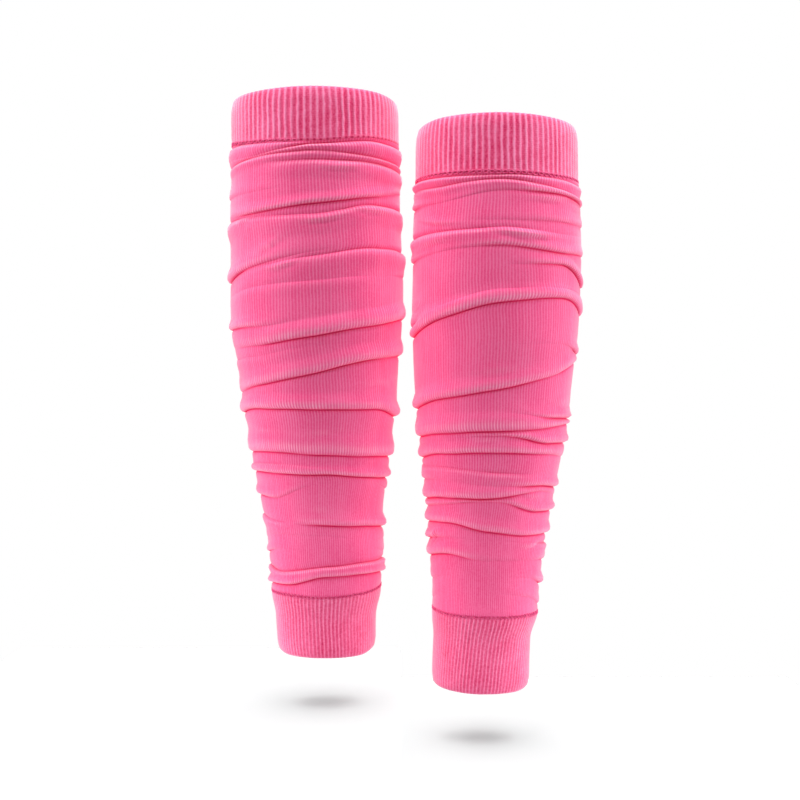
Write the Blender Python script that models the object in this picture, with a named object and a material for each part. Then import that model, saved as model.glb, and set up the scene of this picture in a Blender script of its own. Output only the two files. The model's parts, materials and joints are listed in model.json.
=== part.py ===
"""A pair of calf compression sleeves, filled out and scrunched down, standing side by side.

Each sleeve is one knitted tube with as many stitches round at the knee as at the ankle: a ribbed
knee cuff, a long fine-knit tube that lies in stacked folds, and a ribbed ankle cuff. The three
pieces meet along a course of eyelets, where they keep a small gap.

The front of the sleeves faces -Y. Sizes below are millimetres, and heights are counted from the
level of the calf, which is the origin. Angles run round a sleeve from its front, 0 degrees,
through its right side, 90 degrees, to its back, 180 degrees.
"""

import math
from collections import namedtuple

import bmesh
import bpy

MM = 0.001

# The knit
STITCHES = 168        # needles round the sleeve, the same from cuff to cuff
STITCHES_A_RIB = 2    # one raised stitch and one sunk stitch
RIB_HEIGHT = 0.8      # how far a raised stitch of a cuff stands above a sunk one
STITCHES_A_SIDE = 7   # stitches that one flat of the folded tube spans
CUFF_WALL = 2.6       # doubled rib knit
TUBE_WALL = 2.1       # fine knit, loose over a general calf
SEAM_GAP = 0.3        # between a cuff and the tube
SEAM_TUCK = 0.9       # how far both pieces draw in where they meet
HEM_LENGTH = 3.0      # the turned edge of a cuff, rounded off over this length
HEM_ROUND = 0.9
CUFF_FLARE = 7.0      # the ankle cuff opens into the tube over this length

# The section of a leg, as shares of the half width
FRONT_DEPTH = 0.97    # the shin side is a little flatter
BACK_DEPTH = 1.01
CALF_BULGE = 0.05     # more depth at the back of the calf
CALF_HEIGHT = 75.0
CALF_REACH = 75.0

# Folds
NOSE = 1.9            # length over which a fold's rounded edge rises out of its crease
NOSE_SHARE = 0.4      # or this share of the roll, if that is less
BAND = 0.75           # share of a roll that stands at its full height
FADE = 1.6            # rolls have sunk back into the tube at this many times their height
CREASE = 0.25         # a crease lies this share of the fold's height under the plain tube
TUCK = 2.5            # width of the hollow on the far side of a crease
FOLD_SPACE = 1.3      # least distance between two creases
ROW_SPACE = 0.55      # least distance between two rows of points
WANDER = 4.0          # how far a crease strays up and down across the back
WANDER_RISE = 0.4     # share by which a fold's rise varies there
WANDER_STEP = 137.5   # degrees by which one fold's straying differs from the next one's

PINK = (0.87, 0.13, 0.33, 1.0)
ROUGHNESS = 0.9

# Where the tables below give a value round a sleeve
SIDES = (-90.0, -45.0, 0.0, 45.0, 90.0, 180.0)
Around = namedtuple("Around", "left front_left front front_right right back")

# The outline from the front: the sleeve's middle and half width at each height
Section = namedtuple("Section", "height middle half_width")

# A fold: the height of its crease, and how far the cloth stands out beside the crease. The cloth
# above lies on top where the rise is positive, the cloth below where it is negative. The roll is
# the height of the raised band.
Fold = namedtuple(
    "Fold",
    "left front_left front front_right right back "
    "rise_left rise_front_left rise_front rise_front_right rise_right rise_back roll",
)

LEFT_SECTIONS = [
    Section(193, -61.0, 56.0),
    Section(175, -60.8, 56.6),
    Section(150, -60.4, 56.2),
    Section(125, -60.0, 56.8),
    Section(90, -59.2, 57.2),
    Section(60, -59.0, 57.5),
    Section(40, -58.8, 56.7),
    Section(20, -58.2, 54.1),
    Section(0, -57.4, 52.2),
    Section(-12, -57.0, 51.4),
    Section(-25, -56.6, 48.2),
    Section(-45, -56.0, 45.6),
    Section(-60, -55.4, 43.2),
    Section(-75, -55.2, 40.6),
    Section(-90, -54.2, 39.2),
    Section(-105, -52.8, 38.6),
    Section(-120, -52.4, 37.2),
    Section(-134, -52.7, 36.4),
    Section(-150, -53.0, 33.4),
    Section(-174, -52.2, 32.8),
]

RIGHT_SECTIONS = [
    Section(177, 61.5, 53.4),
    Section(160, 61.4, 54.0),
    Section(140, 61.4, 54.4),
    Section(120, 61.8, 55.4),
    Section(90, 61.4, 56.4),
    Section(60, 60.8, 56.2),
    Section(40, 59.8, 54.6),
    Section(15, 58.7, 52.7),
    Section(-5, 58.2, 51.0),
    Section(-20, 58.4, 49.8),
    Section(-35, 58.4, 47.6),
    Section(-50, 57.8, 45.6),
    Section(-65, 56.9, 43.2),
    Section(-80, 56.4, 40.6),
    Section(-95, 55.2, 38.7),
    Section(-110, 54.4, 37.3),
    Section(-125, 53.9, 35.8),
    Section(-140, 53.0, 35.0),
    Section(-148, 52.8, 35.2),
    Section(-165, 51.1, 32.4),
    Section(-198, 50.2, 31.5),
]

# Edges and seams, from the top down
LEFT_EDGES = {
    "knee_edge": Around(191.5, 192.2, 193.2, 192.9, 190.6, 192.2),
    "knee_seam": Around(163, 160, 158.5, 162.6, 163, 161),
    "ankle_seam": Around(-132.7, -133.6, -134.5, -132.6, -129.8, -132),
    "ankle_edge": Around(-172, -173.4, -173.6, -173.3, -170.5, -173),
}

RIGHT_EDGES = {
    "knee_edge": Around(173.4, 176.2, 176.8, 175.2, 173.0, 175.6),
    "knee_seam": Around(138.7, 139.4, 138.9, 138, 137.6, 138.6),
    "ankle_seam": Around(-145, -146.7, -147.6, -147.8, -147.7, -146.5),
    "ankle_edge": Around(-194.5, -196, -197.2, -197.4, -196, -196.5),
}

# Columns: the crease's height at the left, front left, front, front right, right and back, then
# the fold's rise at the same places, then its roll
LEFT_FOLDS = [
    Fold(158.5, 157.6, 157, 161, 161.5, 160, -3.0, -2.2, 0.0, 0.0, 0.0, -2.0, 6.5),
    Fold(155, 154, 156, 160.5, 159.5, 156, 0.0, -0.8, -2.0, -2.6, -2.5, -1.5, 4.5),
    Fold(148, 149.3, 152.2, 150, 148.1, 150, -2.5, -2.0, -1.5, -2.0, -2.0, -2.0, 4.5),
    Fold(142, 144.8, 146.5, 146.4, 145.4, 143, 0.0, -0.3, -1.6, -2.0, -2.2, 0.0, 5.0),
    Fold(126, 127.4, 131.6, 134, 136, 126, 1.0, 0.3, 0.0, 0.0, 0.3, 1.5, 5.0),
    Fold(112.6, 113.3, 118.3, 124.2, 130, 118, 0.0, 1.6, 2.3, 1.6, 0.3, 0.5, 4.5),
    Fold(110.6, 111.3, 111.7, 119.1, 117.9, 108, -2.6, -1.2, -1.1, -2.1, -2.6, -1.0, 9.0),
    Fold(70.5, 79.0, 87.9, 94.6, 98, 84, 3.0, 1.6, 0.4, 0.0, 0.0, 2.0, 7.0),
    Fold(68.3, 77.9, 84.8, 91.7, 91.1, 74, 0.0, -0.4, -1.2, -2.0, -2.6, -0.8, 9.0),
    Fold(60.3, 65.6, 69.6, 73.4, 75, 62, 0.0, -0.5, -0.7, -0.2, 0.8, 1.2, 6.0),
    Fold(39.4, 40.6, 45.6, 54.1, 60.3, 46, 2.3, 1.2, 0.0, 0.0, 0.0, 0.5, 5.0),
    Fold(27.5, 28.3, 34.2, 41.8, 46.9, 33, 0.4, 1.2, 3.0, 3.0, 2.6, 1.5, 8.0),
    Fold(20.1, 21.9, 27.8, 32.2, 34.8, 24, -0.7, -0.8, -0.3, 0.0, 0.0, 0.0, 6.0),
    Fold(-1.4, 2.8, 10.8, 19.7, 22.8, 10, 1.0, 2.0, 3.0, 3.6, 3.2, 2.0, 8.0),
    Fold(-15.4, -11.9, -12.7, -12.6, -18.1, -16, 2.6, 2.6, 2.6, 2.6, 3.0, 2.5, 7.0),
    Fold(-40.5, -40.2, -41.8, -43.1, -44.2, -40, 2.6, 2.0, 2.0, 2.0, 3.0, 2.0, 10.0),
    Fold(-48.2, -47.3, -49.2, -51.8, -52.3, -48, -1.0, -1.0, -0.6, -0.3, -0.5, 0.0, 4.0),
    Fold(-53.6, -54.1, -54.6, -56.8, -58.2, -55, 2.5, 2.2, 2.5, 2.5, 3.0, 2.0, 5.0),
    Fold(-69, -70, -60.5, -59.9, -66.3, -68, 2.6, 2.0, 0.8, 0.2, 1.0, 1.5, 5.0),
    Fold(-81.4, -85.6, -87.5, -89, -90.8, -84, -1.6, -1.0, 2.0, 2.5, 3.0, 2.0, 6.0),
    Fold(-97.8, -93.8, -94.1, -97.8, -98.5, -97, 0.3, 0.4, 0.3, 0.0, 0.4, 1.0, 4.0),
    Fold(-107.9, -103.7, -103.8, -103.7, -107, -108, 2.0, 0.3, 0.0, 0.0, 0.3, 0.5, 4.0),
    Fold(-115.9, -118.4, -114.5, -112.4, -111.8, -117, -2.0, -2.0, -2.0, -2.0, -2.5, -1.0, 4.0),
    Fold(-127.6, -127.4, -121.4, -120.4, -120.6, -126, 2.6, 2.6, 2.0, 2.0, 3.0, 2.0, 4.0),
]

RIGHT_FOLDS = [
    Fold(137, 137.2, 137.2, 136.2, 134, 136.5, -2.6, -2.0, -1.5, -1.5, -1.5, -2.0, 4.0),
    Fold(131, 131.4, 134.3, 129.8, 125.3, 131, -1.0, -1.6, -1.6, -1.6, -1.0, -1.5, 4.0),
    Fold(119.9, 120.5, 127.4, 125.6, 121.9, 122, 1.6, 0.3, 0.8, 2.3, 1.6, 1.5, 4.0),
    Fold(109.9, 109.5, 108.3, 107.9, 107.9, 110, 0.0, 0.0, 0.3, 1.1, 1.1, 0.5, 5.0),
    Fold(99.8, 102.1, 103.3, 100.8, 100.5, 100, -2.2, -1.6, -1.3, -0.7, 0.0, -1.5, 6.0),
    Fold(84.4, 88.9, 91.9, 88.3, 88.4, 86, 1.6, 0.3, 1.4, 2.1, 1.1, 1.5, 5.0),
    Fold(70.4, 72.2, 79.8, 80.6, 67.8, 70, 0.0, 0.0, 0.0, 2.2, 2.6, 1.5, 5.0),
    Fold(41.5, 54.1, 64.6, 66, 60.3, 52, 1.6, -0.5, -0.8, -0.8, -0.8, 0.0, 6.0),
    Fold(34.8, 45.4, 55.4, 59.3, 48.9, 42, 2.6, 2.6, 2.6, 2.6, 2.6, 2.2, 8.0),
    Fold(18.8, 21.9, 28.5, 29.8, 23.2, 20, 0.0, 0.0, 0.0, 0.3, 2.4, 1.0, 5.0),
    Fold(-12.7, -6.1, 0, 9.4, 19.4, 4, 3.0, 2.6, 2.2, 1.6, 1.6, 2.2, 7.0),
    Fold(-18.8, -13.6, -14, -17.8, -18.8, -14, 0.0, 0.0, 0.0, 1.6, 2.6, 1.0, 4.0),
    Fold(-31.0, -28.4, -26.5, -24.6, -22.1, -26, 2.5, 2.1, 2.1, 1.6, 2.0, 2.0, 9.0),
    Fold(-34.4, -31.3, -29, -34.7, -34.8, -34, 0.0, 0.0, 1.2, 2.5, 3.0, 1.0, 5.0),
    Fold(-45.2, -41.3, -40.6, -41.9, -44.2, -43, 2.6, 2.1, 2.1, 1.5, 0.8, 1.8, 6.0),
    Fold(-49.6, -50, -53.1, -54.5, -53.6, -52, -1.0, -1.0, -1.3, -0.3, 0.0, -0.8, 6.0),
    Fold(-59, -58.4, -61.5, -62.6, -64.3, -61, 1.6, 0.3, 0.5, 2.1, 2.6, 1.0, 5.0),
    Fold(-71.7, -70.2, -70, -65.7, -69.7, -70, 2.6, 2.0, 2.2, 1.0, 0.3, 1.8, 6.0),
    Fold(-77, -73.9, -72, -79.4, -79.7, -78, 1.2, 1.0, 1.0, 2.5, 3.0, 1.0, 4.5),
    Fold(-86.8, -86.6, -92, -95, -95.1, -90, 2.6, 2.0, 2.2, 2.0, 2.6, 2.0, 6.0),
    Fold(-98.5, -95.9, -97.4, -99.8, -101.2, -100, 2.6, 0.5, 0.0, -0.8, -2.0, 0.8, 4.5),
    Fold(-110, -107, -110.9, -110.9, -112.9, -110, 2.6, 2.0, 0.6, 0.5, 2.0, 1.6, 6.0),
    Fold(-125.3, -121.5, -120.8, -122.9, -129.3, -124, 1.0, 0.0, 0.0, 0.3, 3.0, 1.0, 6.0),
    Fold(-138, -132, -132, -135.3, -142.2, -136, 0.3, 0.0, 0.0, 0.6, 1.0, 0.5, 5.0),
]


def smooth(share):
    """0 to 1 with level ends."""
    share = min(max(share, 0.0), 1.0)
    return share * share * (3.0 - 2.0 * share)


def slopes(places, values):
    """A slope for each value that never makes the curve through them overshoot."""
    steps = [
        (b - a) / (q - p)
        for a, b, p, q in zip(values, values[1:], places, places[1:])
    ]
    inner = [
        0.0 if a * b <= 0.0 else 2.0 * a * b / (a + b)
        for a, b in zip(steps, steps[1:])
    ]
    return [steps[0]] + inner + [steps[-1]]


def curve(places, values, at):
    """The height of a smooth curve through the values, `at` a place along it."""
    tangents = slopes(places, values)
    at = min(max(at, places[0]), places[-1])
    k = max(i for i in range(len(places) - 1) if places[i] <= at)
    width = places[k + 1] - places[k]
    t = (at - places[k]) / width
    return (
        values[k] * (1.0 + 2.0 * t) * (1.0 - t) ** 2
        + tangents[k] * width * t * (1.0 - t) ** 2
        + values[k + 1] * t * t * (3.0 - 2.0 * t)
        - tangents[k + 1] * width * t * t * (1.0 - t)
    )


def round_sleeve(values, angle):
    """A value between those given at the six places round the sleeve."""
    turned = (angle + 180.0) % 360.0 - 180.0
    places = [p - 360.0 for p in SIDES] + list(SIDES) + [p + 360.0 for p in SIDES]
    return curve(places, list(values) * 3, turned)


def behind(angle):
    """0 over the front half of a sleeve, 1 at its back."""
    return smooth(-math.cos(math.radians(angle)))


def section_at(sections, height):
    """The sleeve's middle and half width at a height."""
    rows = sorted(sections)
    heights = [row.height for row in rows]
    middle = curve(heights, [row.middle for row in rows], height)
    half_width = curve(heights, [row.half_width for row in rows], height)
    return middle, half_width


def point(sections, angle, height, out):
    """A point `out` millimetres outside the leg's plain form."""
    middle, half_width = section_at(sections, height)
    turn = math.radians(angle)
    depth = FRONT_DEPTH
    if math.cos(turn) < 0.0:
        calf = math.exp(-(((height - CALF_HEIGHT) / CALF_REACH) ** 2))
        depth = BACK_DEPTH + CALF_BULGE * calf
    x = middle + (half_width + out) * math.sin(turn)
    y = -(half_width * depth + out) * math.cos(turn)
    return (x * MM, y * MM, height * MM)


def angles(count):
    return [360.0 * i / count - 180.0 for i in range(count)]


def folds_at(folds, angle, top):
    """Height, rise and roll of each fold at an angle, from the top down."""
    found = []
    above = top
    for number, fold in enumerate(folds):
        phase = math.radians(2.0 * angle + WANDER_STEP * number)
        stray = math.sin(phase) * behind(angle)
        height = round_sleeve(fold[:6], angle) + WANDER * stray
        height = min(height, above - FOLD_SPACE)
        rise = round_sleeve(fold[6:12], angle) * (1.0 + WANDER_RISE * stray)
        found.append((height, rise, fold.roll))
        above = height
    return found


def fold_profile(out, roll):
    """Share of a fold's rise, `out` millimetres from its crease towards the cloth on top."""
    if out < 0.0:
        return -CREASE * max(0.0, 1.0 + out / TUCK)
    nose = min(NOSE, NOSE_SHARE * roll)
    if out < nose:
        return -CREASE + (1.0 + CREASE) * smooth(out / nose)
    return 1.0 - smooth((out - BAND * roll) / ((FADE - BAND) * roll))


def relief(here, height):
    """How far the folds push the cloth out at a height."""
    raised = 0.0
    sunk = 0.0
    for crease, rise, roll in here:
        up = height - crease if rise > 0.0 else crease - height
        push = abs(rise) * fold_profile(up, roll)
        raised = max(raised, push)
        sunk = min(sunk, push)
    return raised if raised > -sunk else sunk


def tube_rows(here, top, bottom):
    """Heights of the rows of points at one angle: three to a fold, and one at each end."""
    rows = [top]
    for crease, rise, roll in here:
        side = min(max(rise, -1.0), 1.0)
        nose = min(NOSE, NOSE_SHARE * roll)
        rows.append(crease + 0.5 * roll * (side + 1.0))
        rows.append(crease + nose * side)
        rows.append(crease - 0.5 * roll * (1.0 - side))
    rows.append(bottom)
    for k in range(1, len(rows)):
        rows[k] = min(rows[k], rows[k - 1] - ROW_SPACE)
    rows[-1] = bottom
    for k in range(len(rows) - 2, 0, -1):
        rows[k] = max(rows[k], rows[k + 1] + ROW_SPACE)
    return rows


def add_wall(name, outer, inner, leg):
    """A closed wall between the rings of its outside and its inside, both from the top down."""
    mesh = bmesh.new()
    outside = [[mesh.verts.new(p) for p in ring] for ring in outer]
    inside = [[mesh.verts.new(p) for p in ring] for ring in inner]
    loop = outside + inside[::-1]
    for ring, following in zip(loop, loop[1:] + loop[:1]):
        join_rings(mesh, ring, following)
    bmesh.ops.recalc_face_normals(mesh, faces=mesh.faces)
    bmesh.ops.translate(mesh, verts=mesh.verts, vec=-leg.location)
    data = bpy.data.meshes.new(name)
    mesh.to_mesh(data)
    mesh.free()
    data.shade_smooth()
    data.materials.append(knit_material(name))
    obj = bpy.data.objects.new(name, data)
    obj.parent = leg
    bpy.context.scene.collection.objects.link(obj)
    return obj


def join_rings(mesh, ring, following):
    """Faces between two rings, one of which may have several points for each point of the other."""
    fine, coarse = (ring, following) if len(ring) >= len(following) else (following, ring)
    several = len(fine) // len(coarse)
    for k in range(len(coarse)):
        start = coarse[k]
        end = coarse[(k + 1) % len(coarse)]
        span = [fine[(k * several + j) % len(fine)] for j in range(several + 1)]
        if several == 1:
            mesh.faces.new((start, span[0], span[1], end))
            continue
        half = several // 2
        for j in range(several):
            mesh.faces.new((start if j < half else end, span[j], span[j + 1]))
        mesh.faces.new((start, span[half], end))


def knit_material(name):
    material = bpy.data.materials.new(name + "_knit")
    material.use_nodes = True
    shader = material.node_tree.nodes["Principled BSDF"]
    shader.inputs["Base Color"].default_value = PINK
    shader.inputs["Roughness"].default_value = ROUGHNESS
    shader.inputs["Metallic"].default_value = 0.0
    material.diffuse_color = PINK
    return material


def seam_height(seam, angle):
    """A seam runs straight across each flat of the tube, on both pieces that meet there."""
    side = 360.0 * STITCHES_A_SIDE / STITCHES
    low = math.floor(angle / side) * side
    share = (angle - low) / side
    return round_sleeve(seam, low) * (1.0 - share) + round_sleeve(seam, low + side) * share


def add_cuff(name, sections, seam, edge, leg):
    """A ribbed band from its seam with the tube to its open, turned edge."""
    down = -1.0 if edge.front < seam.front else 1.0

    def rows_at(angle):
        joined = seam_height(seam, angle) + down * 0.5 * SEAM_GAP
        free = round_sleeve(edge, angle)
        rows = [(joined, -SEAM_TUCK), (free - down * HEM_LENGTH, 0.0), (free, -HEM_ROUND)]
        if down < 0.0:
            rows.insert(1, (joined + down * CUFF_FLARE, 0.0))
        return rows if down < 0.0 else rows[::-1]

    def ribbed(angle, stitch):
        sunk = RIB_HEIGHT if stitch % STITCHES_A_RIB else 0.0
        return [point(sections, angle, height, out - sunk) for height, out in rows_at(angle)]

    def plain(angle):
        rows = rows_at(angle)
        return [point(sections, angle, height, -CUFF_WALL) for height, _ in rows]

    outer = zip(*[ribbed(angle, stitch) for stitch, angle in enumerate(angles(STITCHES))])
    inner = zip(*[plain(angle) for angle in angles(STITCHES // STITCHES_A_SIDE)])
    return add_wall(name, list(outer), list(inner), leg)


def add_tube(name, sections, folds, top_seam, bottom_seam, leg):
    """The folded tube between its two seams, over a plain inside."""
    turns = angles(STITCHES // STITCHES_A_SIDE)
    lined = [row.height for row in sections]

    def folded(angle):
        top = round_sleeve(top_seam, angle) - 0.5 * SEAM_GAP
        bottom = round_sleeve(bottom_seam, angle) + 0.5 * SEAM_GAP
        here = folds_at(folds, angle, top)
        rows = tube_rows(here, top, bottom)
        ends = (top, bottom)
        return [
            point(sections, angle, row, -SEAM_TUCK if row in ends else relief(here, row))
            for row in rows
        ]

    def plain(angle):
        top = round_sleeve(top_seam, angle) - 0.5 * SEAM_GAP
        bottom = round_sleeve(bottom_seam, angle) + 0.5 * SEAM_GAP
        clear = max(top_seam) - min(top_seam) + FOLD_SPACE
        rows = [row for row in lined if bottom + clear < row < top - clear]
        return [
            point(sections, angle, row, -TUBE_WALL)
            for row in [top] + rows + [bottom]
        ]

    outer = zip(*[folded(angle) for angle in turns])
    columns = [plain(angle) for angle in turns]
    fewest = min(len(column) for column in columns)
    if any(len(column) != fewest for column in columns):
        raise ValueError("the rows inside " + name + " differ round it")
    return add_wall(name, list(outer), list(zip(*columns)), leg)


def add_sleeve(side, sections, edges, folds):
    """The three pieces of a sleeve, on an empty at the middle of the leg, level with the calf."""
    leg = bpy.data.objects.new(side + "_leg", None)
    leg.location.x = section_at(sections, 0.0)[0] * MM
    bpy.context.scene.collection.objects.link(leg)
    knee_seam = edges["knee_seam"]
    ankle_seam = edges["ankle_seam"]
    add_cuff(side + "_knee_cuff", sections, knee_seam, edges["knee_edge"], leg)
    add_tube(side + "_calf_tube", sections, folds, knee_seam, ankle_seam, leg)
    add_cuff(side + "_ankle_cuff", sections, ankle_seam, edges["ankle_edge"], leg)


for old in list(bpy.data.objects):
    bpy.data.objects.remove(old, do_unlink=True)

add_sleeve("left", LEFT_SECTIONS, LEFT_EDGES, LEFT_FOLDS)
add_sleeve("right", RIGHT_SECTIONS, RIGHT_EDGES, RIGHT_FOLDS)
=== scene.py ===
"""A pair of calf compression sleeves in pink nylon knit, filled out and scrunched down.

Each sleeve is knitted round on 168 needles: a doubled rib cuff below the knee, a fine-knit tube
that lies in stacked folds, a course of eyelets at each end of the tube, and a rib cuff above the
ankle. Sizes are millimetres until a point goes into a mesh. Heights are counted from the level of
the calf. Angles run round a sleeve from its front, 0 degrees, through its right side, 90 degrees.
"""

import json
import math
from collections import namedtuple

import bpy
import numpy as np
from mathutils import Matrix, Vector

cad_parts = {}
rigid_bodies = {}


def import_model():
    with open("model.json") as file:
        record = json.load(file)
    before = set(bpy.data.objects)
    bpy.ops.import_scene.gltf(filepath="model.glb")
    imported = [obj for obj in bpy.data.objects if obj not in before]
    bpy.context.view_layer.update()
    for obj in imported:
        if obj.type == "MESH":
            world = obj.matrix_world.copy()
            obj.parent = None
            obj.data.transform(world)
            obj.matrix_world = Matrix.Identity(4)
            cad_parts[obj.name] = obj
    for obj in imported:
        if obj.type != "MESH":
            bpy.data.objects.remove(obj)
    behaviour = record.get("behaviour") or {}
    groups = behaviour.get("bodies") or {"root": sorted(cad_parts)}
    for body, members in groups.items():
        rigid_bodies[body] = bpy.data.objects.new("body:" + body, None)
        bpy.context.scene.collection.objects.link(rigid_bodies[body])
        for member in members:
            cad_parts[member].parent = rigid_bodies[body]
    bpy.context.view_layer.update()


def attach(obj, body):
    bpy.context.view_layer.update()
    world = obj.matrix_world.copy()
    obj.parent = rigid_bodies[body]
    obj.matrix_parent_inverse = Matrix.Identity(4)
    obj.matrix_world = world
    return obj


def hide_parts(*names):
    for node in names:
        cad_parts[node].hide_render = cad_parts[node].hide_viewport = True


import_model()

# Knee cuffs. Two bands of doubled rib knit, nylon over bare elastane, that grip the leg below the
# knee. Each is turned in at the top to a smooth round edge, and linked to its tube at the bottom.

MM = 0.001
NEEDLES = 168
CUFF_WALL = 2.6         # doubled rib knit
CUFF_ROWS = 30          # rows of points outside, round the turned edge and inside
HEM_ROWS = 7
CUFF_INSIDE_ROWS = 9
ROW_CROWDING = 1.15     # rows lie closer together towards the seam by this power
SEAM_GAP = 0.02         # how far each knit keeps off the middle of their seam
SEAM_TUCK = 0.45        # how far the knit draws in at the eyelet course, rounding out of it over
SEAM_ROUND = 1.6        # this height
HEM_RADIUS = 1.3        # the turned edge
EDGE_DRAW = 1.3         # how far the open edge draws in, and over what height
EDGE_ZONE = 9.0
PLAIN_COURSE = 0.6      # plain knit beside the eyelets, and the height over which the ribs begin
RIB_BEGIN = 1.6
EYE_HEIGHT = 1.1        # how far the open knit and its painted shade reach up from the eyelets
RIB_DEPTH = 0.5
RIB_SHARPNESS = 1.2
LOW_RIB = 0.35          # height of the rib between two high ones, as a share of theirs
RIB_CHANCE = (0.7, 1.1)     # range of the single ribs' depths
RIB_COLUMNS = 840       # ten columns of points to a rib
HEM_RIBS = 0.75         # share of their depth that the ribs keep at the turned edge
INSIDE_RIBS = 0.35      # and inside the cuff
RIB_SWAY = 0.12         # degrees that the ribs sway, and that single stitches stray
STITCH_STRAY = 0.13
SIDE_CLOSE = 0.5        # how far the valleys and their painted shade flatten out at the two sides, so that the side-lit edges look pale, from this sine of the angle on
SIDE_BEGIN = 0.6        # from this sine of the angle on
CUFF_SLACK = 0.35       # how far the cuff lies off the leg's even form
RIB_COURSE = 1.35       # height of a course, a third coarser than the real ones so that it shows
RIB_PATCHES = 55.0      # patches of dye to a metre, each 18 mm wide
FIBRE_ENDS = 750.0      # the same for fibre ends, 1.3 mm wide, coarser than real ones so they show
FRONT_DEPTH = 0.97      # the shin side is a little flatter
BACK_DEPTH = 1.01
CALF_BULGE = 0.05
CALF_HEIGHT = 75.0
CALF_REACH = 75.0

# Where the tables give a value round a sleeve: left, front left, front, front right, right, back
STATIONS = np.array([-90.0, -45.0, 0.0, 45.0, 90.0, 180.0])

Section = namedtuple("Section", "height middle half_width")
LEFT_FORM = [Section(*row) for row in (
    (193, -60.3, 55.5), (175, -60, 55.9), (150, -59.8, 55.9), (125, -60, 56.8),
    (90, -59.2, 57.2), (60, -59, 57.5), (40, -58.8, 56.7), (20, -58.2, 54.1), (0, -57.4, 52.2),
    (-12, -57, 51.4), (-25, -56.6, 48.2), (-45, -56, 45.6), (-60, -55.4, 43.2),
    (-75, -55.2, 40.6), (-90, -54.2, 39.2), (-105, -52.8, 38.6), (-120, -52.4, 37.2),
    (-134, -52.7, 36.4), (-150, -53, 33.4), (-174, -52.2, 32.8),
)]
RIGHT_FORM = [Section(*row) for row in (
    (177, 61.5, 53.4), (160, 61.4, 54), (140, 61.4, 54.4), (120, 61.8, 55.4), (90, 61.4, 56.4),
    (60, 60.8, 56.2), (40, 60.4, 55.3), (15, 59.3, 53.3), (-5, 58.6, 51.6), (-20, 58.3, 50.4),
    (-35, 58.2, 48.5), (-50, 57.7, 45.9), (-65, 56.6, 43.6), (-80, 56, 41.1), (-95, 54.7, 39.3),
    (-110, 54.4, 37.6), (-125, 54.3, 36), (-140, 53.7, 35.3), (-148, 53.4, 35.4),
    (-165, 51.5, 32.6), (-198, 50.2, 32.4),
)]

KNEE_EDGE = {
    "left": (192, 192.8, 193.9, 193.5, 191.2, 192.9),
    "right": (174, 176.8, 177.5, 175.9, 173.6, 176.3),
}
KNEE_SEAM = {
    "left": (163, 160, 158.5, 162.6, 163, 161),
    "right": (138.7, 139.4, 138.9, 138, 137.6, 138.6),
}


def smooth(share):
    """Rises softly from 0 to 1, and stays there."""
    share = np.clip(share, 0.0, 1.0)
    return share * share * (3.0 - 2.0 * share)


def quarter(share):
    """Rises from 0 to 1 as a quarter of a circle does."""
    return np.sqrt(1.0 - (1.0 - np.clip(share, 0.0, 1.0)) ** 2)


def curve(places, values, at):
    """A smooth curve through the values that never overshoots, read at many places at once."""
    places = np.asarray(places, float)
    values = np.asarray(values, float)
    steps = np.diff(values) / np.diff(places)
    before, after = steps[:-1], steps[1:]
    both = before * after > 0.0
    inner = np.where(both, 2.0 * before * after / np.where(both, before + after, 1.0), 0.0)
    tangents = np.concatenate([steps[:1], inner, steps[-1:]])
    at = np.clip(at, places[0], places[-1])
    k = np.clip(np.searchsorted(places, at, side="right") - 1, 0, len(steps) - 1)
    width = places[k + 1] - places[k]
    t = (at - places[k]) / width
    return (
        values[k] * (1.0 + 2.0 * t) * (1.0 - t) ** 2
        + tangents[k] * width * t * (1.0 - t) ** 2
        + values[k + 1] * t * t * (3.0 - 2.0 * t)
        - tangents[k + 1] * width * t * t * (1.0 - t)
    )


def around(values, angle):
    """A value between those given at the six places round the sleeve."""
    places = np.concatenate([STATIONS - 360.0, STATIONS, STATIONS + 360.0])
    return curve(places, np.tile(values, 3), (angle + 180.0) % 360.0 - 180.0)


def on_leg(form, angle, height, out):
    """Points `out` millimetres outside the plain form of a leg."""
    rows = sorted(form)
    heights = [row.height for row in rows]
    middle = curve(heights, [row.middle for row in rows], height)
    half_width = curve(heights, [row.half_width for row in rows], height)
    turn = np.radians(angle)
    calf = np.exp(-(((height - CALF_HEIGHT) / CALF_REACH) ** 2))
    depth = np.where(np.cos(turn) < 0.0, BACK_DEPTH + CALF_BULGE * calf, FRONT_DEPTH)
    x = middle + (half_width + out) * np.sin(turn)
    y = -(half_width * depth + out) * np.cos(turn)
    return np.stack([x, y, height + 0.0 * x], axis=-1)


def slack(angle, height, phase):
    """The slow unevenness of cloth that nothing fills quite evenly, from -1 to 1."""
    turn = np.radians(angle)
    return (
        0.40 * np.sin(2.0 * turn + height / 19.0 + phase)
        + 0.35 * np.sin(3.0 * turn - height / 13.0 + 2.1 * phase)
        + 0.25 * np.sin(5.0 * turn + height / 8.5 + 3.7 * phase)
    )


def linear(code):
    """An sRGB hex colour as linear RGBA."""
    values = [int(code[i:i + 2], 16) / 255.0 for i in (1, 3, 5)]
    return [v / 12.92 if v <= 0.04045 else ((v + 0.055) / 1.055) ** 2.4 for v in values] + [1.0]


def add_node(tree, kind, *inputs, **settings):
    """A node with its settings. `inputs` are values for its sockets in order, or one dict of values
    by socket, and a node among them is linked by its first output."""
    node = tree.nodes.new(kind)
    for name, value in settings.items():
        setattr(node, name, value)
    if inputs and isinstance(inputs[0], dict):
        given = inputs[0]
    else:
        given = dict(enumerate(inputs))
    for socket, value in given.items():
        if isinstance(value, bpy.types.Node):
            value = value.outputs[0]
        if isinstance(value, bpy.types.NodeSocket):
            tree.links.new(value, node.inputs[socket])
        else:
            node.inputs[socket].default_value = value
    return node


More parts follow.
